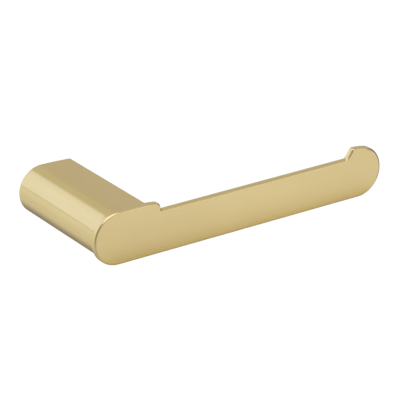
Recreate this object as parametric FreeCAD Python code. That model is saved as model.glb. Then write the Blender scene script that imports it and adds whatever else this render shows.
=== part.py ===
import FreeCAD, Part

import math
import os

# A wall-mounted toilet paper holder: a hollow post stands out of the wall and carries a
# flat hook plate, the arm, across its front end. The roll drops onto the arm from above
# and the upturned end keeps it there. Behind the post a small bracket is screwed to the
# wall. The post slides over it, and a grub screw from below locks the two together.
#
# Millimetres. X runs along the arm, Y points into the wall, Z is up. The wall is the
# plane Y = 0, and the origin is the middle of the post's foot on the wall.

# ---- driving dimensions -------------------------------------------------------------

PROJECTION = 73.5            # wall to the front face of the arm plate

PLATE_LENGTH = 176.3
PLATE_HEIGHT = 27.8          # over the round left end
PLATE_THICKNESS = 3.2
SEAT_DEPTH = 5.05            # how far the roll seat is cut down from the plate's top
CROWN_RADIUS = 45.0          # of the plate's crowned top edge over the post and the hook
CROWN_AT = 28.0              # plate's left end to where its top falls to the shoulder
SHOULDER_AT = 38.2           # plate's left end to the upright side of the shoulder
SHOULDER_RADIUS = 2.9
SHOULDER_FOOT_RADIUS = 1.3
HOOK_FOOT_AT = 153.6         # plate's left end to the foot of the hook's inner wall
HOOK_TIP_AT = 157.5          # plate's left end to the hook's top corner
HOOK_END_RADIUS = 13.75
HOOK_CROWN_FROM = 80.0       # degrees up the round end, where the crown takes over
HOOK_WALL_BOW = 0.36         # how far the hook's inner wall curves in behind its chord
HOOK_FOOT_RADIUS = 1.2
HOOK_TIP_RADIUS = 1.3
PLATE_FRONT_ROUNDING = 1.2
PLATE_BACK_ROUNDING = 0.4

POST_WIDTH = 31.0
POST_HEIGHT = 26.3
POST_WALL = 2.0
POST_INSET = 1.8             # plate's left end to the post's left side
POST_CORNER_RADIUS = 1.5     # the two upright corners of the D section
POST_CROWN_RADIUS = 250.0    # top and bottom are very slightly crowned
POST_END_ROUNDING = 0.3

SPIGOT_HEIGHT = 3.0          # raised pad on the plate's back that enters the post
SPIGOT_CLEARANCE = 0.15
SPIGOT_CHAMFER = 0.5

BULKHEAD_THICKNESS = 3.0
BRAZE_GAP = 0.05

ARM_SCREW_SPACING = 14.0     # M4 cap screws
ARM_SCREW_LENGTH = 8.0
ARM_SCREW_RADIUS = 2.0
ARM_SCREW_HOLE_RADIUS = 2.15
TAPPED_HOLE_CLEARANCE = 0.05
TAPPED_HOLE_DEPTH = 5.2
CAP_HEAD_RADIUS = 3.5
CAP_HEAD_HEIGHT = 4.0
CAP_SOCKET_WIDTH = 3.0       # across flats
CAP_SOCKET_DEPTH = 2.0
CAP_HEAD_ROUNDING = 0.4
SCREW_TIP_CHAMFER = 0.4

WASHER_THICKNESS = 1.0
WASHER_OUTER_RADIUS = 3.7
WASHER_INNER_RADIUS = 2.1
WASHER_SLIT = 0.6
WASHER_SLIT_LEAN = 20.0      # degrees that the slit leans, as on a split spring washer

BRACKET_SHEET = 2.0
BRACKET_CLEARANCE = 0.5      # web outline to the inside of the post
BRACKET_DEPTH = 12.0         # how deep the post slides over the flanges
BRACKET_TOP = 10.3
BRACKET_BOTTOM = -6.0        # flat land that the grub screw bears on
BRACKET_BEND_RADIUS = 1.0    # inside radius
TOP_FLANGE = (-3.0, 9.5)     # from X, to X
BOTTOM_FLANGE = (-6.0, 6.0)
FLANGE_CORNER_RADIUS = 2.0
BEND_RELIEF = 1.0
WALL_SCREW_SPACING = 15.0
WALL_SCREW_HOLE_RADIUS = 2.25

GRUB_FROM_WALL = 7.5
GRUB_RADIUS = 2.5            # M5
GRUB_LENGTH = 6.0
GRUB_CLEARANCE = 0.05
GRUB_TIP_RADIUS = 1.75
GRUB_TIP_GAP = 0.05
GRUB_SOCKET_WIDTH = 2.5      # across flats
GRUB_SOCKET_DEPTH = 3.0
GRUB_POST_HOLE_RADIUS = 2.7
BOSS_WIDTH = 10.0
BOSS_LENGTH = 9.0
BOSS_GAP = 0.6               # between the boss and the bracket's lower flange

# ---- worked out from them -----------------------------------------------------------

PLATE_FRONT = -PROJECTION
PLATE_BACK = PLATE_FRONT + PLATE_THICKNESS
PLATE_LEFT = -POST_WIDTH / 2 - POST_INSET
SPIGOT_BACK = PLATE_BACK + SPIGOT_HEIGHT
BULKHEAD_BACK = SPIGOT_BACK + BULKHEAD_THICKNESS
WASHER_BACK = BULKHEAD_BACK + WASHER_THICKNESS

POST_RADIUS = POST_HEIGHT / 2
POST_ARC_X = -POST_WIDTH / 2 + POST_RADIUS
POST_CROWN_Z = POST_RADIUS - POST_CROWN_RADIUS

WALL_SCREW_Z = (BRACKET_TOP + BRACKET_BOTTOM) / 2
BRACKET_BEND_OUTSIDE = BRACKET_BEND_RADIUS + BRACKET_SHEET
BOSS_TOP = BRACKET_BOTTOM - BOSS_GAP

LONG = 400.0                 # larger than the whole holder, for cutting shapes
TOUCH = 1e-4                 # edges nearer than this to a plane lie in it


# ---- helpers ------------------------------------------------------------------------

def vector(x, y, z):
    return FreeCAD.Vector(x, y, z)


def arc_edge(centre_x, centre_z, radius, from_degrees, to_degrees):
    """An arc in the XZ plane, by its centre, radius and the angles at its two ends."""
    middle = (from_degrees + to_degrees) / 2
    points = []
    for degrees in (from_degrees, middle, to_degrees):
        angle = math.radians(degrees)
        points.append(vector(centre_x + radius * math.cos(angle), 0,
                             centre_z + radius * math.sin(angle)))
    return Part.Arc(*points).toShape()


def line_edge(from_x, from_z, to_x, to_z):
    """A straight edge in the XZ plane."""
    return Part.LineSegment(vector(from_x, 0, from_z), vector(to_x, 0, to_z)).toShape()


def bowed_edge(from_x, from_z, to_x, to_z, bow):
    """An arc in the XZ plane that leaves its chord by bow, to the left of its direction."""
    run_x = to_x - from_x
    run_z = to_z - from_z
    chord = math.hypot(run_x, run_z)
    middle = vector((from_x + to_x) / 2 - bow * run_z / chord, 0,
                    (from_z + to_z) / 2 + bow * run_x / chord)
    return Part.Arc(vector(from_x, 0, from_z), middle, vector(to_x, 0, to_z)).toShape()


def prism(edges, from_y, to_y):
    """The solid that a closed outline in the XZ plane sweeps from one Y to another."""
    face = Part.Face(Part.Wire(edges))
    face.translate(vector(0, from_y, 0))
    return face.extrude(vector(0, to_y - from_y, 0))


def cylinder_y(radius, x, z, from_y, to_y):
    return Part.makeCylinder(radius, to_y - from_y, vector(x, from_y, z), vector(0, 1, 0))


def cylinder_z(radius, x, y, from_z, to_z):
    return Part.makeCylinder(radius, to_z - from_z, vector(x, y, from_z), vector(0, 0, 1))


def box(from_x, to_x, from_y, to_y, from_z, to_z):
    return Part.makeBox(to_x - from_x, to_y - from_y, to_z - from_z,
                        vector(from_x, from_y, from_z))


def hexagon_hole(across_flats, depth):
    """A hexagonal prism about the Z axis, from Z = 0 upwards."""
    corner_radius = across_flats / math.sqrt(3)
    corners = []
    for corner in range(7):
        angle = math.radians(60 * corner)
        corners.append(vector(corner_radius * math.cos(angle),
                              corner_radius * math.sin(angle), 0))
    return Part.Face(Part.makePolygon(corners)).extrude(vector(0, 0, depth))


def edges_at_y(shape, y):
    """The edges that lie wholly in the plane of the given Y."""
    return [edge for edge in shape.Edges
            if abs(edge.BoundBox.YMin - y) < TOUCH and abs(edge.BoundBox.YMax - y) < TOUCH]


def edges_along_y(shape, x, z, reach=0.05):
    """The edges that run along Y within reach of the given X and Z."""
    return [edge for edge in shape.Edges
            if edge.BoundBox.YLength > TOUCH
            and abs(edge.BoundBox.Center.x - x) < reach
            and abs(edge.BoundBox.Center.z - z) < reach
            and edge.BoundBox.XLength < reach
            and edge.BoundBox.ZLength < reach]


def post_section(inset, from_y, to_y):
    """The post's D section, drawn in by inset all round and swept between two Ys."""
    radius = POST_RADIUS - inset
    crown_radius = POST_CROWN_RADIUS - inset
    right = POST_WIDTH / 2 - inset
    lean = math.degrees(math.asin((right - POST_ARC_X) / crown_radius))
    corner_z = POST_CROWN_Z + crown_radius * math.cos(math.radians(lean))
    solid = prism([arc_edge(POST_ARC_X, 0, radius, 90, 270),
                   arc_edge(POST_ARC_X, -POST_CROWN_Z, crown_radius, 270, 270 + lean),
                   line_edge(right, -corner_z, right, corner_z),
                   arc_edge(POST_ARC_X, POST_CROWN_Z, crown_radius, 90 - lean, 90)],
                  from_y, to_y)
    corners = edges_along_y(solid, right, corner_z) + edges_along_y(solid, right, -corner_z)
    return solid.makeFillet(max(POST_CORNER_RADIUS - inset, POST_CORNER_RADIUS / 3), corners)


# ---- the arm ------------------------------------------------------------------------

def plate_blank():
    """The flat hook plate: round ends, a shoulder on the left and the hook on the right."""
    end = PLATE_HEIGHT / 2
    left = PLATE_LEFT
    seat_z = end - SEAT_DEPTH
    crown_x = left + CROWN_AT
    shoulder_x = left + SHOULDER_AT
    crown_inside = CROWN_RADIUS - SHOULDER_RADIUS
    lean = math.degrees(math.asin((shoulder_x - SHOULDER_RADIUS - crown_x) / crown_inside))
    shoulder_z = end - CROWN_RADIUS + crown_inside * math.cos(math.radians(lean))
    foot_x = left + HOOK_FOOT_AT
    tip_x = left + HOOK_TIP_AT
    seat_left = shoulder_x + SHOULDER_FOOT_RADIUS
    hook_x = left + PLATE_LENGTH - HOOK_END_RADIUS
    hook_z = HOOK_END_RADIUS - end
    turn = math.radians(HOOK_CROWN_FROM)
    hook_crown_x = hook_x - (CROWN_RADIUS - HOOK_END_RADIUS) * math.cos(turn)
    hook_crown_z = hook_z - (CROWN_RADIUS - HOOK_END_RADIUS) * math.sin(turn)
    tip_turn = math.acos((tip_x - hook_crown_x) / CROWN_RADIUS)
    tip_z = hook_crown_z + CROWN_RADIUS * math.sin(tip_turn)
    blank = prism([line_edge(left + end, -end, hook_x, -end),
                   arc_edge(hook_x, hook_z, HOOK_END_RADIUS, -90, HOOK_CROWN_FROM),
                   arc_edge(hook_crown_x, hook_crown_z, CROWN_RADIUS,
                            HOOK_CROWN_FROM, math.degrees(tip_turn)),
                   bowed_edge(tip_x, tip_z, foot_x, seat_z, HOOK_WALL_BOW),
                   line_edge(foot_x, seat_z, seat_left, seat_z),
                   arc_edge(seat_left, seat_z + SHOULDER_FOOT_RADIUS,
                            SHOULDER_FOOT_RADIUS, 270, 180),
                   line_edge(shoulder_x, seat_z + SHOULDER_FOOT_RADIUS,
                             shoulder_x, shoulder_z),
                   arc_edge(shoulder_x - SHOULDER_RADIUS, shoulder_z,
                            SHOULDER_RADIUS, 0, 90 - lean),
                   arc_edge(crown_x, end - CROWN_RADIUS, CROWN_RADIUS, 90 - lean, 90),
                   line_edge(crown_x, end, left + end, end),
                   arc_edge(left + end, 0, end, 90, 270)],
                  PLATE_FRONT, PLATE_BACK)
    blank = blank.makeFillet(HOOK_TIP_RADIUS, edges_along_y(blank, tip_x, tip_z))
    blank = blank.makeFillet(HOOK_FOOT_RADIUS, edges_along_y(blank, foot_x, seat_z))
    blank = blank.makeFillet(PLATE_FRONT_ROUNDING, edges_at_y(blank, PLATE_FRONT))
    return blank.makeFillet(PLATE_BACK_ROUNDING, edges_at_y(blank, PLATE_BACK))


def arm_plate():
    spigot = post_section(POST_WALL + SPIGOT_CLEARANCE, PLATE_BACK, SPIGOT_BACK)
    spigot = spigot.makeChamfer(SPIGOT_CHAMFER, edges_at_y(spigot, SPIGOT_BACK))
    plate = plate_blank().fuse(spigot)
    for side in (-1, 1):
        plate = plate.cut(cylinder_y(ARM_SCREW_RADIUS, side * ARM_SCREW_SPACING / 2, 0,
                                     SPIGOT_BACK - TAPPED_HOLE_DEPTH, SPIGOT_BACK))
    return plate.removeSplitter()


# ---- the post -----------------------------------------------------------------------

def post_tube():
    """The hollow post, with the hole for the grub screw in its underside."""
    outside = post_section(0, PLATE_BACK, 0)
    ends = edges_at_y(outside, PLATE_BACK) + edges_at_y(outside, 0)
    outside = outside.makeFillet(POST_END_ROUNDING, ends)
    tube = outside.cut(post_section(POST_WALL, PLATE_BACK, 0))
    return tube.cut(cylinder_z(GRUB_POST_HOLE_RADIUS, 0, -GRUB_FROM_WALL,
                               -POST_HEIGHT, BRACKET_BOTTOM))


def front_bulkhead():
    """The plate brazed across the inside of the post, which the arm screws pull against."""
    bulkhead = post_section(POST_WALL + BRAZE_GAP, SPIGOT_BACK, BULKHEAD_BACK)
    for side in (-1, 1):
        bulkhead = bulkhead.cut(cylinder_y(ARM_SCREW_HOLE_RADIUS, side * ARM_SCREW_SPACING / 2,
                                           0, SPIGOT_BACK, BULKHEAD_BACK))
    return bulkhead


def grub_screw_boss():
    """The threaded block brazed to the floor of the post, over the grub screw's hole."""
    middle = -GRUB_FROM_WALL
    block = box(-BOSS_WIDTH / 2, BOSS_WIDTH / 2,
                middle - BOSS_LENGTH / 2, middle + BOSS_LENGTH / 2,
                -POST_HEIGHT, BOSS_TOP)
    block = block.common(post_section(POST_WALL + BRAZE_GAP, PLATE_BACK, 0))
    return block.cut(cylinder_z(GRUB_RADIUS, 0, middle, -POST_HEIGHT, BOSS_TOP))


# ---- the wall bracket ---------------------------------------------------------------

def flange(span, z, inward):
    """One bent flange: an L in the YZ plane swept along X. inward is -1 or +1 in Z."""
    reach = BRACKET_BEND_OUTSIDE
    bend_y = -reach
    bend_z = z + inward * reach
    outer = Part.Arc(vector(0, 0, bend_z),
                     vector(0, bend_y + reach * math.sqrt(0.5),
                            bend_z - inward * reach * math.sqrt(0.5)),
                     vector(0, bend_y, z)).toShape()
    inner = Part.Arc(vector(0, bend_y, z + inward * BRACKET_SHEET),
                     vector(0, bend_y + BRACKET_BEND_RADIUS * math.sqrt(0.5),
                            bend_z - inward * BRACKET_BEND_RADIUS * math.sqrt(0.5)),
                     vector(0, -BRACKET_SHEET, bend_z)).toShape()
    tip_outer = vector(0, -BRACKET_DEPTH, z)
    tip_inner = vector(0, -BRACKET_DEPTH, z + inward * BRACKET_SHEET)
    profile = Part.Wire([outer,
                         Part.LineSegment(vector(0, bend_y, z), tip_outer).toShape(),
                         Part.LineSegment(tip_outer, tip_inner).toShape(),
                         Part.LineSegment(tip_inner, inner.Vertexes[0].Point).toShape(),
                         inner,
                         Part.LineSegment(vector(0, -BRACKET_SHEET, bend_z),
                                          vector(0, 0, bend_z)).toShape()])
    face = Part.Face(profile)
    face.translate(vector(span[0], 0, 0))
    solid = face.extrude(vector(span[1] - span[0], 0, 0))
    tips = [edge for edge in solid.Edges
            if edge.BoundBox.ZLength > BRACKET_SHEET / 2
            and abs(edge.BoundBox.YMin + BRACKET_DEPTH) < TOUCH
            and abs(edge.BoundBox.YMax + BRACKET_DEPTH) < TOUCH]
    return solid.makeFillet(FLANGE_CORNER_RADIUS, tips)


def wall_bracket():
    """The pressed bracket: a D-shaped web with two screw holes, and two bent flanges."""
    web = post_section(POST_WALL + BRACKET_CLEARANCE, -BRACKET_SHEET, 0)
    web = web.common(box(-LONG, LONG, -LONG, LONG, BRACKET_BOTTOM, BRACKET_TOP))
    for span, z, inward in ((TOP_FLANGE, BRACKET_TOP, -1), (BOTTOM_FLANGE, BRACKET_BOTTOM, 1)):
        bend_z = z + inward * BRACKET_BEND_OUTSIDE
        web = web.cut(box(span[0] - BEND_RELIEF, span[1] + BEND_RELIEF, -BRACKET_SHEET, 0,
                          min(z, bend_z), max(z, bend_z)))
        web = web.fuse(flange(span, z, inward))
    for side in (-1, 1):
        web = web.cut(cylinder_y(WALL_SCREW_HOLE_RADIUS, side * WALL_SCREW_SPACING / 2,
                                 WALL_SCREW_Z, -BRACKET_SHEET, 0))
    return web.removeSplitter()


# ---- fasteners ----------------------------------------------------------------------

def grub_screw():
    """M5 x 6 socket grub screw, flat point up against the bracket's lower flange."""
    radius = GRUB_RADIUS - GRUB_CLEARANCE
    tip_z = BRACKET_BOTTOM - GRUB_TIP_GAP
    foot_z = tip_z - GRUB_LENGTH
    cone = radius - GRUB_TIP_RADIUS
    body = cylinder_z(radius, 0, 0, 0, GRUB_LENGTH - cone)
    point = Part.makeCone(radius, GRUB_TIP_RADIUS, cone, vector(0, 0, GRUB_LENGTH - cone))
    screw = body.fuse(point).cut(hexagon_hole(GRUB_SOCKET_WIDTH, GRUB_SOCKET_DEPTH))
    rim = [edge for edge in screw.Edges
           if abs(edge.BoundBox.ZMax) < TOUCH and edge.BoundBox.XLength > 2 * radius - TOUCH]
    screw = screw.makeChamfer(SCREW_TIP_CHAMFER, rim)
    screw.translate(vector(0, -GRUB_FROM_WALL, foot_z))
    return screw


def arm_screw(side):
    """M4 x 8 cap screw along Y, with its head towards the wall. side is -1 or +1."""
    radius = ARM_SCREW_RADIUS - TAPPED_HOLE_CLEARANCE
    shank = Part.makeCylinder(radius, ARM_SCREW_LENGTH)
    tip = [edge for edge in shank.Edges if abs(edge.BoundBox.ZMin - ARM_SCREW_LENGTH) < TOUCH]
    shank = shank.makeChamfer(SCREW_TIP_CHAMFER, tip)
    head = Part.makeCylinder(CAP_HEAD_RADIUS, CAP_HEAD_HEIGHT, vector(0, 0, -CAP_HEAD_HEIGHT))
    rim = [edge for edge in head.Edges if abs(edge.BoundBox.ZMax + CAP_HEAD_HEIGHT) < TOUCH]
    head = head.makeFillet(CAP_HEAD_ROUNDING, rim)
    socket = hexagon_hole(CAP_SOCKET_WIDTH, CAP_SOCKET_DEPTH)
    socket.translate(vector(0, 0, -CAP_HEAD_HEIGHT))
    screw = shank.fuse(head).cut(socket).removeSplitter()
    screw.rotate(vector(0, 0, 0), vector(1, 0, 0), 90)
    screw.translate(vector(side * ARM_SCREW_SPACING / 2, WASHER_BACK, 0))
    return screw


def arm_lock_washer(side):
    """Split spring washer, flattened between the screw's head and the bulkhead."""
    x = side * ARM_SCREW_SPACING / 2
    ring = cylinder_y(WASHER_OUTER_RADIUS, x, 0, BULKHEAD_BACK, WASHER_BACK)
    ring = ring.cut(cylinder_y(WASHER_INNER_RADIUS, x, 0, BULKHEAD_BACK, WASHER_BACK))
    slit = box(x - WASHER_SLIT / 2, x + WASHER_SLIT / 2,
               BULKHEAD_BACK - WASHER_THICKNESS, WASHER_BACK + WASHER_THICKNESS,
               0, WASHER_OUTER_RADIUS + 1)
    slit.rotate(vector(x, (BULKHEAD_BACK + WASHER_BACK) / 2, 0), vector(0, 0, 1),
                WASHER_SLIT_LEAN)
    return ring.cut(slit)


# ---- the whole holder ---------------------------------------------------------------

def pieces():
    """Every piece by its node's name."""
    named = {"wall_bracket": wall_bracket(),
             "post_tube": post_tube(),
             "grub_screw_boss": grub_screw_boss(),
             "grub_screw": grub_screw(),
             "front_bulkhead": front_bulkhead(),
             "arm_plate": arm_plate()}
    for side, word in ((-1, "left"), (1, "right")):
        named["arm_screw_" + word] = arm_screw(side)
        named["arm_lock_washer_" + word] = arm_lock_washer(side)
    return named


os.makedirs("parts", exist_ok=True)
for name, shape in pieces().items():
    if not shape.isValid() or len(shape.Solids) != 1:
        raise ValueError(name + " is not one valid solid")
    shape.exportStep("parts/" + name + ".step")
    print(name, round(shape.Volume, 1), "cubic mm")
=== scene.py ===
import math

import bmesh
import bpy
from mathutils import Matrix, Vector


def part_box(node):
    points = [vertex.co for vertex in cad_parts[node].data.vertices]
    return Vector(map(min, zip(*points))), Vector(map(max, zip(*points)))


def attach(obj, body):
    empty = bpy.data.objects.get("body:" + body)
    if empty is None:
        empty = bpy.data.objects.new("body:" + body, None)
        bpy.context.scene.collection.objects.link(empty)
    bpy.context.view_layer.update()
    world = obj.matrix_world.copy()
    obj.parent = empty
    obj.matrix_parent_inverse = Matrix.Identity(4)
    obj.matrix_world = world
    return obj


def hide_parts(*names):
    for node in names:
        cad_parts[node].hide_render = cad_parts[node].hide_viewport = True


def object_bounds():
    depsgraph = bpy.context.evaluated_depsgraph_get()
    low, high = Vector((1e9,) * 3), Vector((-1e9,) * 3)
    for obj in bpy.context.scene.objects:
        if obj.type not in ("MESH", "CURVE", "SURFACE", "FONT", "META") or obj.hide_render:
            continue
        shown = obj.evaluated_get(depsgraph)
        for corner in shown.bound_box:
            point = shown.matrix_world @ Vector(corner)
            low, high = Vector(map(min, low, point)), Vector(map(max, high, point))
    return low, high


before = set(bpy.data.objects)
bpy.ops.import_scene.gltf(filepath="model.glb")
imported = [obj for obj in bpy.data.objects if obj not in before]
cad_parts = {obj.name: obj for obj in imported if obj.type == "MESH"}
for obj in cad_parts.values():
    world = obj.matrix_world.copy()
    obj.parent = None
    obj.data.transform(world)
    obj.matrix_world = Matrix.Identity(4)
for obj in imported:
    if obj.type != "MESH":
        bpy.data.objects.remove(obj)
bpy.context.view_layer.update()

MM = 0.001


# ---- camera -------------------------------------------------------------------------
# It stands in front of the holder, to its left and above it, and looks at a point on
# the arm's front face, given from the arm's left end and its bottom edge.

VIEW_AZIMUTH = -35.487
VIEW_ELEVATION = 23.501
VIEW_ROLL = 0.691
VIEW_DISTANCE = 1.0269
VIEW_LENS = 188.62           # millimetres, like the width of the sensor
SENSOR_WIDTH = 36.0
CLIP_NEAR, CLIP_FAR = 0.05, 50.0
LOOK_AT = (61.12 * MM, 22.83 * MM)


def make_camera():
    arm_low, arm_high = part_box("arm_plate")
    target = Vector((arm_low.x + LOOK_AT[0], arm_low.y, arm_low.z + LOOK_AT[1]))
    azimuth = math.radians(VIEW_AZIMUTH)
    elevation = math.radians(VIEW_ELEVATION)
    back = Vector((math.sin(azimuth) * math.cos(elevation),
                   -math.cos(azimuth) * math.cos(elevation), math.sin(elevation)))
    data = bpy.data.cameras.new("camera")
    data.sensor_width = SENSOR_WIDTH
    data.lens = VIEW_LENS
    data.clip_start = CLIP_NEAR
    data.clip_end = CLIP_FAR
    camera = bpy.data.objects.new("camera", data)
    bpy.context.scene.collection.objects.link(camera)
    turn = (-back).to_track_quat("-Z", "Y").to_matrix().to_4x4()
    roll = Matrix.Rotation(math.radians(VIEW_ROLL), 4, "Z")
    camera.matrix_world = Matrix.Translation(target + back * VIEW_DISTANCE) @ turn @ roll
    bpy.context.scene.camera = camera


# ---- materials ----------------------------------------------------------------------
# The textures are in the object's own coordinates, in metres.

NOISE_ROUGHNESS = 0.6
EDGE_SAMPLES = 6
EDGE_COSINES = (0.999, 0.95)         # of the turn at an edge where its wear, on the gold its painted shade, begins and is full
CLOUD_BREAKUP = (0.35, 0.6)          # low and high values of the clouds
EDGE_WEAR_AND_SHADE_BREAKUP = (0.6, 1.0)            # and how much of the wear, on the gold the painted shade, is left at each

RELIEF_SHARE = 0.6                   # of the relief in the colours; the rest is clouds
COLOUR_RANGE = (0.35, 0.65)          # the sum of both in the grooves and on the ridges
ROUGHNESS_RANGE = (0.3, 0.7)         # values of each where the metal is smoothest, roughest
ROUGHNESS_OF_RELIEF = 0.03           # what each then takes off the roughness or adds to it
ROUGHNESS_OF_CLOUDS = 0.02
WEAR_POLISH = 0.05                   # how much smoother the worn edges are
GRAIN_DEPTH = 0.02 * MM

# A pattern's size across its streaks and along them, and its detail.
FINE_LINES = (0.16 * MM, 12 * MM, 3.0)
BROAD_STREAKS = (1.1 * MM, 45 * MM, 2.0)
MOTTLING = (24 * MM, 50 * MM, 2.0)
FINE_SHARE = 0.65                    # of the lines in the brushing; the rest is streaks
BRUSHED_EDGE = 0.8 * MM              # how wide the wear, on the gold the painted shade, along an edge is

TURNED_RING = 0.12 * MM
TURNED_RING_DETAIL = 2.0
TURNED_CLOUDS = (1.5 * MM, 1.5 * MM, 2.0)
TURNED_EDGE = 0.12 * MM


def new_material(name):
    material = bpy.data.materials.new(name)
    material.use_nodes = True
    tree = material.node_tree
    tree.nodes.clear()
    output = tree.nodes.new("ShaderNodeOutputMaterial")
    shader = tree.nodes.new("ShaderNodeBsdfPrincipled")
    tree.links.new(shader.outputs[0], output.inputs["Surface"])
    return material, tree, shader


def stretched_noise(tree, pattern, axis):
    """Noise in streaks along an axis of the object."""
    across, along, detail = pattern
    coordinates = tree.nodes.new("ShaderNodeTexCoord")
    mapping = tree.nodes.new("ShaderNodeMapping")
    scale = [1 / across] * 3
    scale["XYZ".index(axis)] = 1 / along
    mapping.inputs["Scale"].default_value = scale
    tree.links.new(coordinates.outputs["Object"], mapping.inputs["Vector"])
    noise = tree.nodes.new("ShaderNodeTexNoise")
    noise.inputs["Scale"].default_value = 1.0
    noise.inputs["Detail"].default_value = detail
    noise.inputs["Roughness"].default_value = NOISE_ROUGHNESS
    tree.links.new(mapping.outputs["Vector"], noise.inputs["Vector"])
    return noise.outputs["Fac"]


def ranged(tree, value, low_in, high_in, low_out, high_out):
    node = tree.nodes.new("ShaderNodeMapRange")
    node.inputs["From Min"].default_value = low_in
    node.inputs["From Max"].default_value = high_in
    node.inputs["To Min"].default_value = low_out
    node.inputs["To Max"].default_value = high_out
    tree.links.new(value, node.inputs["Value"])
    return node.outputs["Result"]


def calculate(tree, operation, first, second):
    node = tree.nodes.new("ShaderNodeMath")
    node.operation = operation
    for socket, value in zip(node.inputs, (first, second)):
        if isinstance(value, (int, float)):
            socket.default_value = value
        else:
            tree.links.new(value, socket)
    return node.outputs[0]


def mixed(tree, first, second, share):
    """Two values added up, with a share of the first and the rest of the second."""
    return calculate(tree, "ADD", calculate(tree, "MULTIPLY", first, share),
                     calculate(tree, "MULTIPLY", second, 1 - share))


def blended(tree, factor, first, second):
    node = tree.nodes.new("ShaderNodeMix")
    node.data_type = "RGBA"
    tree.links.new(factor, node.inputs["Factor"])
    for name, colour in (("A", first), ("B", second)):
        socket = [s for s in node.inputs if s.name == name and s.type == "RGBA"][0]
        if isinstance(colour, tuple):
            socket.default_value = (*colour, 1.0)
        else:
            tree.links.new(colour, socket)
    return [s for s in node.outputs if s.type == "RGBA"][0]


def find_edge_wear_and_shade(tree, radius, breakup):
    """One along the object's edges and nought on its flats, broken up by a noise. On the
    gold it lays painted shade, on the other metals wear.
    """
    bevel = tree.nodes.new("ShaderNodeBevel")
    bevel.samples = EDGE_SAMPLES
    bevel.inputs["Radius"].default_value = radius
    geometry = tree.nodes.new("ShaderNodeNewGeometry")
    dot = tree.nodes.new("ShaderNodeVectorMath")
    dot.operation = "DOT_PRODUCT"
    tree.links.new(bevel.outputs["Normal"], dot.inputs[0])
    tree.links.new(geometry.outputs["Normal"], dot.inputs[1])
    edge = ranged(tree, dot.outputs["Value"], *EDGE_COSINES, 0.0, 1.0)
    return calculate(tree, "MULTIPLY", edge,
                     ranged(tree, breakup, *CLOUD_BREAKUP, *EDGE_WEAR_AND_SHADE_BREAKUP))


def finish_metal(tree, shader, relief, clouds, colours, roughness, grain, edge_radius):
    """Colours, roughness and relief of a worked metal. The colours are of its ridges, its
    grooves and its edges; on the gold the edge colour is painted shade, on the other metals
    it is wear."""
    ridge_colour, groove_colour, edge_wear_shade_colour = colours
    shader.inputs["Metallic"].default_value = 1.0
    height = mixed(tree, relief, clouds, RELIEF_SHARE)
    base = blended(tree, ranged(tree, height, *COLOUR_RANGE, 0.0, 1.0),
                   groove_colour, ridge_colour)
    # on the gold this mask lays painted shade along the edges; on the other metals it is
    # wear
    edge_wear_shade_mask = find_edge_wear_and_shade(tree, edge_radius, clouds)
    tree.links.new(blended(tree, edge_wear_shade_mask, base, edge_wear_shade_colour), shader.inputs["Base Color"])
    rough = calculate(tree, "ADD",
                      ranged(tree, relief, *ROUGHNESS_RANGE,
                             -ROUGHNESS_OF_RELIEF, ROUGHNESS_OF_RELIEF),
                      ranged(tree, clouds, *ROUGHNESS_RANGE,
                             roughness - ROUGHNESS_OF_CLOUDS,
                             roughness + ROUGHNESS_OF_CLOUDS))
    polish = calculate(tree, "MULTIPLY", edge_wear_shade_mask, WEAR_POLISH)
    tree.links.new(calculate(tree, "SUBTRACT", rough, polish), shader.inputs["Roughness"])
    bump = tree.nodes.new("ShaderNodeBump")
    bump.inputs["Strength"].default_value = grain
    bump.inputs["Distance"].default_value = GRAIN_DEPTH
    tree.links.new(relief, bump.inputs["Height"])
    tree.links.new(bump.outputs["Normal"], shader.inputs["Normal"])


def brushed_metal(name, colours, axis, roughness, grain):
    """Metal brushed along one axis: fine lines, broader streaks and slight mottling."""
    material, tree, shader = new_material(name)
    lines = stretched_noise(tree, FINE_LINES, axis)
    streaks = stretched_noise(tree, BROAD_STREAKS, axis)
    clouds = stretched_noise(tree, MOTTLING, axis)
    brushing = mixed(tree, lines, streaks, FINE_SHARE)
    finish_metal(tree, shader, brushing, clouds, colours, roughness, grain, BRUSHED_EDGE)
    return material


def turned_metal(name, colours, roughness, grain):
    """Metal turned on a lathe about the object's Z axis, with fine rings around it."""
    material, tree, shader = new_material(name)
    coordinates = tree.nodes.new("ShaderNodeTexCoord")
    parts = tree.nodes.new("ShaderNodeSeparateXYZ")
    tree.links.new(coordinates.outputs["Object"], parts.inputs[0])
    squares = [calculate(tree, "MULTIPLY", parts.outputs[k], parts.outputs[k])
               for k in range(2)]
    from_axis = calculate(tree, "SQRT", calculate(tree, "ADD", *squares), 0.0)
    ring_place = tree.nodes.new("ShaderNodeCombineXYZ")
    for distance, place in ((from_axis, 0), (parts.outputs[2], 2)):
        tree.links.new(calculate(tree, "DIVIDE", distance, TURNED_RING),
                       ring_place.inputs[place])
    rings = tree.nodes.new("ShaderNodeTexNoise")
    rings.inputs["Scale"].default_value = 1.0
    rings.inputs["Detail"].default_value = TURNED_RING_DETAIL
    tree.links.new(ring_place.outputs[0], rings.inputs["Vector"])
    clouds = stretched_noise(tree, TURNED_CLOUDS, "Z")
    finish_metal(tree, shader, rings.outputs["Fac"], clouds, colours, roughness, grain,
                 TURNED_EDGE)
    return material


def dress(node, material):
    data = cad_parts[node].data
    data.materials.clear()
    data.materials.append(material)


# Each metal's colours on its ridges, in its grooves and along its edges. The gold's darker
# edge colour is painted shade, in place of the dark reflections along its edges, and the
# other metals' edges are rubbed bright.
GOLD = ((0.74, 0.60, 0.31), (0.69, 0.55, 0.27), (0.56, 0.43, 0.21))
RAW_BRASS = ((0.72, 0.57, 0.30), (0.60, 0.45, 0.22), (0.80, 0.67, 0.40))
BRACKET_STEEL = ((0.62, 0.62, 0.61), (0.52, 0.52, 0.52), (0.72, 0.72, 0.71))
SCREW_STEEL = ((0.52, 0.52, 0.53), (0.42, 0.42, 0.44), (0.66, 0.66, 0.67))


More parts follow.
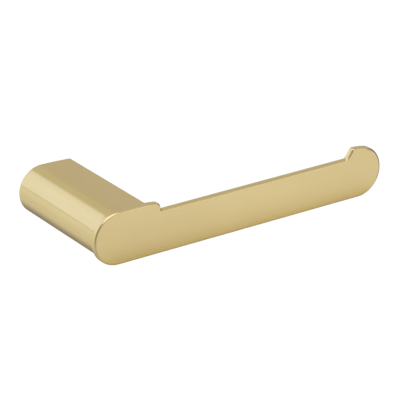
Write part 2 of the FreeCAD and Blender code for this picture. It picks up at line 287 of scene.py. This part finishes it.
def dress_frame():
    dress("arm_plate",
          brushed_metal("brushed_gold_plate", GOLD, "X", roughness=0.22, grain=0.25))
    dress("post_tube",
          brushed_metal("brushed_gold_post", GOLD, "Y", roughness=0.16, grain=0.2))
    dress("front_bulkhead",
          brushed_metal("bulkhead_brass", RAW_BRASS, "X", roughness=0.42, grain=0.5))
    dress("grub_screw_boss",
          brushed_metal("boss_brass", RAW_BRASS, "Z", roughness=0.42, grain=0.5))
    dress("wall_bracket",
          brushed_metal("bracket_steel", BRACKET_STEEL, "X", roughness=0.33, grain=0.35))
    washer = brushed_metal("washer_steel", SCREW_STEEL, "Y", roughness=0.3, grain=0.3)
    dress("arm_lock_washer_left", washer)
    dress("arm_lock_washer_right", washer)


# ---- screws -------------------------------------------------------------------------
# Each is a closed skin of rings around its own Z axis, from the floor of its socket, over
# the socket's mouth at Z = 0 and down its outside to its tip.

RING_SEGMENTS = 96           # a multiple of 12 puts points on the hexagon's corners
RINGS_PER_PITCH = 7
THREAD_DEPTH = 0.6           # these three are shares of the pitch
CREST_FLAT = 0.125
ROOT_FLAT = 0.25
SMOOTH_BELOW = math.radians(28)

GRUB_PITCH = 0.8 * MM
GRUB_HEX = 2.5 * MM          # across flats
GRUB_SOCKET_DEPTH = 3.0 * MM
GRUB_RIM_CHAMFER = 0.4 * MM
GRUB_TIP_RADIUS = 1.75 * MM

CAP_PITCH = 0.7 * MM
CAP_HEX = 3.0 * MM
CAP_SOCKET_DEPTH = 2.0 * MM
CAP_HEAD_LENGTH = 4.0 * MM
CAP_HEAD_ROUNDING = 0.4 * MM
CAP_SHANK_RADIUS = 1.95 * MM
CAP_TIP_CHAMFER = 0.45 * MM
KNURL_RIDGES = 24
KNURL_DEPTH = 0.12 * MM
KNURL_MARGIN = 0.3 * MM      # plain band at each end of the head
HEAD_ROUNDING_STEPS = (0, 30, 60, 90)        # degrees


def ring_angles():
    return [2 * math.pi * k / RING_SEGMENTS for k in range(RING_SEGMENTS)]


def round_ring(radius):
    return [radius] * RING_SEGMENTS


def hex_ring(across_flats):
    sector = math.pi / 3
    return [across_flats / 2 / math.cos((angle + sector / 2) % sector - sector / 2)
            for angle in ring_angles()]


def knurled_ring(radius):
    return [radius - KNURL_DEPTH * (1 - math.cos(KNURL_RIDGES * angle)) / 2
            for angle in ring_angles()]


def thread_ring(major, pitch, height, limit):
    """A slice of a thread with flat crests and roots, no wider than a limit."""
    radii = []
    for angle in ring_angles():
        turn = (height / pitch - angle / (2 * math.pi)) % 1.0
        rise = (abs(2 * turn - 1) - ROOT_FLAT) / (1 - ROOT_FLAT - CREST_FLAT)
        depth = THREAD_DEPTH * pitch * (1 - min(max(rise, 0.0), 1.0))
        radii.append(min(major - depth, limit))
    return radii


def thread_rings(major, pitch, start, end, limit_at):
    count = round((end - start) / pitch * RINGS_PER_PITCH)
    heights = [start + (end - start) * k / count for k in range(1, count + 1)]
    return [(height, thread_ring(major, pitch, height, limit_at(height)))
            for height in heights]


def ring_skin(name, rings):
    """A closed mesh through rings, each a height and a radius in every direction."""
    vertices = [(0.0, 0.0, rings[0][0])]
    for height, radii in rings:
        vertices += [(radius * math.cos(angle), radius * math.sin(angle), height)
                     for angle, radius in zip(ring_angles(), radii)]
    vertices.append((0.0, 0.0, rings[-1][0]))
    last = len(vertices) - 1
    faces = []
    for k in range(RING_SEGMENTS):
        after = (k + 1) % RING_SEGMENTS
        faces.append((0, 1 + after, 1 + k))
        for row in range(len(rings) - 1):
            near = 1 + row * RING_SEGMENTS
            far = near + RING_SEGMENTS
            faces.append((near + k, near + after, far + after, far + k))
        faces.append((last, last - RING_SEGMENTS + k, last - RING_SEGMENTS + after))
    mesh = bpy.data.meshes.new(name)
    mesh.from_pydata(vertices, [], faces)
    shape = bmesh.new()
    shape.from_mesh(mesh)
    bmesh.ops.recalc_face_normals(shape, faces=shape.faces)
    shape.to_mesh(mesh)
    shape.free()
    mesh.shade_smooth()
    mesh.set_sharp_from_angle(angle=SMOOTH_BELOW)
    piece = bpy.data.objects.new(name, mesh)
    bpy.context.scene.collection.objects.link(piece)
    return piece


def make_grub_screw(material):
    low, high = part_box("grub_screw")
    major, length = (high.x - low.x) / 2, high.z - low.z

    def limit_at(height):
        return min(major, major - GRUB_RIM_CHAMFER + height,
                   GRUB_TIP_RADIUS + length - height)

    rings = [(GRUB_SOCKET_DEPTH, hex_ring(GRUB_HEX)), (0.0, hex_ring(GRUB_HEX)),
             (0.0, round_ring(major - GRUB_RIM_CHAMFER))]
    rings += thread_rings(major, GRUB_PITCH, 0.0, length, limit_at)
    piece = ring_skin("grub_screw_threaded", rings)
    piece.data.materials.append(material)
    piece.location = ((low.x + high.x) / 2, (low.y + high.y) / 2, low.z)
    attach(piece, "grub_screw")
    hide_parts("grub_screw")


def make_arm_screw(node, material):
    low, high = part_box(node)
    head, length = (high.x - low.x) / 2, high.y - low.y

    def limit_at(height):
        return min(CAP_SHANK_RADIUS, CAP_SHANK_RADIUS - CAP_TIP_CHAMFER + length - height)

    rings = [(CAP_SOCKET_DEPTH, hex_ring(CAP_HEX)), (0.0, hex_ring(CAP_HEX))]
    for degrees in HEAD_ROUNDING_STEPS:
        turn = math.radians(degrees)
        rings.append((CAP_HEAD_ROUNDING * (1 - math.cos(turn)),
                      round_ring(head - CAP_HEAD_ROUNDING * (1 - math.sin(turn)))))
    knurl_end = CAP_HEAD_LENGTH - KNURL_MARGIN
    rings += [(CAP_HEAD_ROUNDING + KNURL_MARGIN, round_ring(head)),
              (CAP_HEAD_ROUNDING + KNURL_MARGIN + KNURL_DEPTH, knurled_ring(head)),
              (knurl_end - KNURL_DEPTH, knurled_ring(head)),
              (knurl_end, round_ring(head)),
              (CAP_HEAD_LENGTH, round_ring(head)),
              (CAP_HEAD_LENGTH, round_ring(CAP_SHANK_RADIUS))]
    rings += thread_rings(CAP_SHANK_RADIUS, CAP_PITCH, CAP_HEAD_LENGTH, length, limit_at)
    piece = ring_skin(node + "_threaded", rings)
    piece.data.materials.append(material)
    piece.location = ((low.x + high.x) / 2, high.y, (low.z + high.z) / 2)
    piece.rotation_euler = (math.pi / 2, 0.0, 0.0)
    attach(piece, "holder")
    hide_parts(node)


def make_screws():
    make_grub_screw(turned_metal("grub_screw_steel", SCREW_STEEL, roughness=0.3, grain=0.3))
    steel = turned_metal("arm_screw_steel", SCREW_STEEL, roughness=0.3, grain=0.3)
    make_arm_screw("arm_screw_left", steel)
    make_arm_screw("arm_screw_right", steel)


# ---- studio -------------------------------------------------------------------------
# The light is a white tent, drawn in the world by direction, with cards in it. X runs
# along the arm, Y into the wall and Z up.

BACKDROP_COLOUR = (1.0, 1.0, 1.0)    # the tent as the camera sees it, behind everything
TENT_COLOUR = (0.66, 0.65, 0.64)

# Each card is round: the way to it, its angular radius, the width of its soft edge
# (both in degrees) and its colour. Later cards lie over earlier ones.
CARDS = (
    ((0.45, -0.05, -0.89), 42.0, 40.0, (0.74, 0.70, 0.50)),      # warm table top
    ((0.62, -0.70, -0.36), 26.0, 34.0, (0.86, 0.86, 0.82)),      # white card, front right
    ((-0.62, 0.75, -0.15), 30.0, 40.0, (0.87, 0.86, 0.81)),      # white card, left
    ((0.53, 0.75, -0.45), 27.0, 50.0, (0.29, 0.26, 0.18)),       # dark gap behind
    ((0.96, -0.05, -0.28), 37.0, 16.0, (0.22, 0.21, 0.18)),      # dark gap, right
    ((0.50, 0.75, 0.62), 30.0, 16.0, (0.66, 0.63, 0.56)),        # grey ceiling behind
    ((-0.75, -0.55, 0.22), 34.0, 20.0, (0.44, 0.41, 0.33)),      # dark gap, front left
    ((-0.08, -0.35, 0.93), 28.0, 10.0, (1.95, 1.90, 2.10)),      # lamp overhead
    ((0.53, -0.80, 0.26), 14.0, 18.0, (1.15, 1.10, 1.00)),       # small lamp, front
)

# The panels behind the holder are a window and what is around it. Each has a right edge, as
# X over Y, and a lower edge, as Z over Y, each with its softness, and a colour.
PANELS = (
    (-0.20, 0.40, -0.50, 0.50, (1.00, 1.06, 1.08)),      # daylight on the wall below it
    (0.62, 0.32, -0.01, 0.02, (0.74, 0.73, 0.64)),       # its grey frame
    (0.00, 0.12, 0.05, 0.02, (1.00, 1.05, 1.16)),        # the window
    (-0.05, 0.35, 0.05, 0.02, (1.10, 1.17, 1.38)),       # and its brighter middle
)
PANELS_BEHIND = 0.2          # the least Y of a direction in which a panel shows


def direction_mask(tree, direction, way, radius, softness):
    """One inside a round patch of sky, nought outside it, with a soft edge."""
    dot = tree.nodes.new("ShaderNodeVectorMath")
    dot.operation = "DOT_PRODUCT"
    tree.links.new(direction, dot.inputs[0])
    dot.inputs[1].default_value = Vector(way).normalized()
    outer = math.cos(math.radians(radius + softness / 2))
    inner = math.cos(math.radians(max(radius - softness / 2, 0.0)))
    node = tree.nodes.new("ShaderNodeMapRange")
    node.interpolation_type = "SMOOTHSTEP"
    node.inputs["From Min"].default_value = outer
    node.inputs["From Max"].default_value = inner
    tree.links.new(dot.outputs["Value"], node.inputs["Value"])
    return node.outputs["Result"]


def panel_mask(tree, direction, right, side_softness, painted_foot_shade, foot_softness):
    """One inside a back panel, which has a straight right edge and lower edge."""
    parts = tree.nodes.new("ShaderNodeSeparateXYZ")
    tree.links.new(direction, parts.inputs[0])
    x, y, z = parts.outputs
    left_of = ranged(tree, calculate(tree, "DIVIDE", x, y),
                     right, right - side_softness, 0.0, 1.0)
    above = ranged(tree, calculate(tree, "DIVIDE", z, y),
                   painted_foot_shade, painted_foot_shade + foot_softness, 0.0, 1.0)
    behind = calculate(tree, "GREATER_THAN", y, PANELS_BEHIND)
    return calculate(tree, "MULTIPLY", calculate(tree, "MULTIPLY", left_of, above), behind)


def make_world():
    world = bpy.data.worlds.new("studio")
    world.use_nodes = True
    tree = world.node_tree
    coordinates = tree.nodes.new("ShaderNodeTexCoord")
    direction = coordinates.outputs["Generated"]
    colour = TENT_COLOUR
    for way, radius, softness, card_colour in CARDS:
        colour = blended(tree, direction_mask(tree, direction, way, radius, softness),
                         colour, card_colour)
    for *edges, panel_colour in PANELS:
        colour = blended(tree, panel_mask(tree, direction, *edges), colour, panel_colour)
    path = tree.nodes.new("ShaderNodeLightPath")
    colour = blended(tree, path.outputs["Is Camera Ray"], colour, BACKDROP_COLOUR)
    tree.links.new(colour, tree.nodes["Background"].inputs["Color"])
    bpy.context.scene.world = world


FLOOR_HALF = 20.0
FLOOR_DROP = 1.2             # below the holder
FLOOR_COLOUR = (0.1, 0.1, 0.1, 1.0)
FLOOR_GLOW = 0.93


def make_floor():
    """A white floor well below the holder, evenly lit, that the metal doesn't mirror."""
    low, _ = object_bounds()
    half, height = FLOOR_HALF, low.z - FLOOR_DROP
    mesh = bpy.data.meshes.new("floor")
    mesh.from_pydata([(-half, -half, height), (half, -half, height),
                      (half, half, height), (-half, half, height)], [], [(0, 1, 2, 3)])
    material, _, shader = new_material("floor_white")
    shader.inputs["Base Color"].default_value = FLOOR_COLOUR
    shader.inputs["Roughness"].default_value = 1.0
    shader.inputs["Specular IOR Level"].default_value = 0.0
    shader.inputs["Emission Color"].default_value = (1.0, 1.0, 1.0, 1.0)
    shader.inputs["Emission Strength"].default_value = FLOOR_GLOW
    mesh.materials.append(material)
    floor = bpy.data.objects.new("floor", mesh)
    bpy.context.scene.collection.objects.link(floor)
    floor.visible_glossy = False
    floor.visible_diffuse = False


BOARD_REACH = 0.4            # how far the board stretches forwards and past the arm's end
BOARD_SKEW = 0.8             # how much it narrows there, forwards over sideways
BOARD_LEFT = 2.0 * MM        # its left edge, from the arm's left end
BOARD_GAP = 0.4 * MM         # below the arm
BOARD_BACK = 4.0 * MM        # its back edge, behind the arm's front face
BOARD_COLOUR = (0.87, 0.88, 0.84)
BOARD_GLOW_COLOUR = (0.94, 0.97, 1.0, 1.0)
BOARD_GLOW = 0.04
POOL_AT = (130 * MM, -30 * MM)       # middle of the painted pool of light, from the arm's left end
POOL_RADIUS = 120 * MM
# the painted pool of light: how much more the board glows at its middle
PAINTED_POOL_GLOW = 0.10
FOOT_SHADE = 5.5 * MM        # the painted shade along the arm falls to 1/e over this distance
# painted shade, darker and warmer, along the arm's foot
PAINTED_FOOT_SHADE_COLOUR = (0.73, 0.69, 0.42)


def board_mesh(arm_low, arm_high):
    left, right = arm_low.x + BOARD_LEFT, arm_high.x + BOARD_REACH
    back, front = arm_low.y + BOARD_BACK, arm_low.y - BOARD_REACH
    height = arm_low.z - BOARD_GAP
    mesh = bpy.data.meshes.new("board")
    mesh.from_pydata([(left, front, height), (right, front, height),
                      (right, back - BOARD_SKEW * BOARD_REACH, height),
                      (arm_high.x, back, height), (left, back, height)],
                     [], [(0, 1, 2, 3, 4)])
    return mesh


def board_material(arm_low):
    """White, with a painted pool of light on it, a glow, and painted shade in a darker,
    warmer strip along the arm, warmed as by the gold's bounce.
    """
    material, tree, shader = new_material("board_white")
    shader.inputs["Roughness"].default_value = 1.0
    shader.inputs["Specular IOR Level"].default_value = 0.0
    shader.inputs["Emission Color"].default_value = BOARD_GLOW_COLOUR
    coordinates = tree.nodes.new("ShaderNodeTexCoord")
    place = coordinates.outputs["Object"]
    parts = tree.nodes.new("ShaderNodeSeparateXYZ")
    tree.links.new(place, parts.inputs[0])
    # painted shade: the board turns to the darker, warmer foot colour towards the arm
    behind = calculate(tree, "SUBTRACT", parts.outputs[1], arm_low.y)
    painted_foot_shade = calculate(tree, "POWER", math.e, calculate(tree, "DIVIDE", behind, FOOT_SHADE))
    painted_foot_shade = calculate(tree, "MINIMUM", painted_foot_shade, 1.0)
    tree.links.new(blended(tree, painted_foot_shade, BOARD_COLOUR, PAINTED_FOOT_SHADE_COLOUR),
                   shader.inputs["Base Color"])
    # painted pool of light: a glow brightest at its middle, fading out over its radius, and
    # dimmed by the painted foot shade
    distance = tree.nodes.new("ShaderNodeVectorMath")
    distance.operation = "DISTANCE"
    distance.inputs[1].default_value = (arm_low.x + POOL_AT[0], arm_low.y + POOL_AT[1],
                                        arm_low.z)
    tree.links.new(place, distance.inputs[0])
    glow_with_painted_pool_and_shade = ranged(tree, distance.outputs["Value"], 0.0, POOL_RADIUS,
                  BOARD_GLOW + PAINTED_POOL_GLOW, BOARD_GLOW)
    glow_with_painted_pool_and_shade = calculate(tree, "MULTIPLY", glow_with_painted_pool_and_shade, calculate(tree, "SUBTRACT", 1.0, painted_foot_shade))
    tree.links.new(glow_with_painted_pool_and_shade, shader.inputs["Emission Strength"])
    return material


def make_board():
    """A white board lying just below the arm and in front of it. Only the metal sees it: it
    gives the arm's face its soft, darker foot, a reflection of the board's painted shade
    along the arm and of its real shade in the gap below the arm."""
    arm_low, arm_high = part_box("arm_plate")
    mesh = board_mesh(arm_low, arm_high)
    mesh.materials.append(board_material(arm_low))
    board = bpy.data.objects.new("board", mesh)
    bpy.context.scene.collection.objects.link(board)
    board.visible_camera = False


def make_studio():
    make_world()
    make_floor()
    make_board()
    bpy.context.scene.view_settings.view_transform = "Standard"


make_camera()
dress_frame()
make_screws()
make_studio()
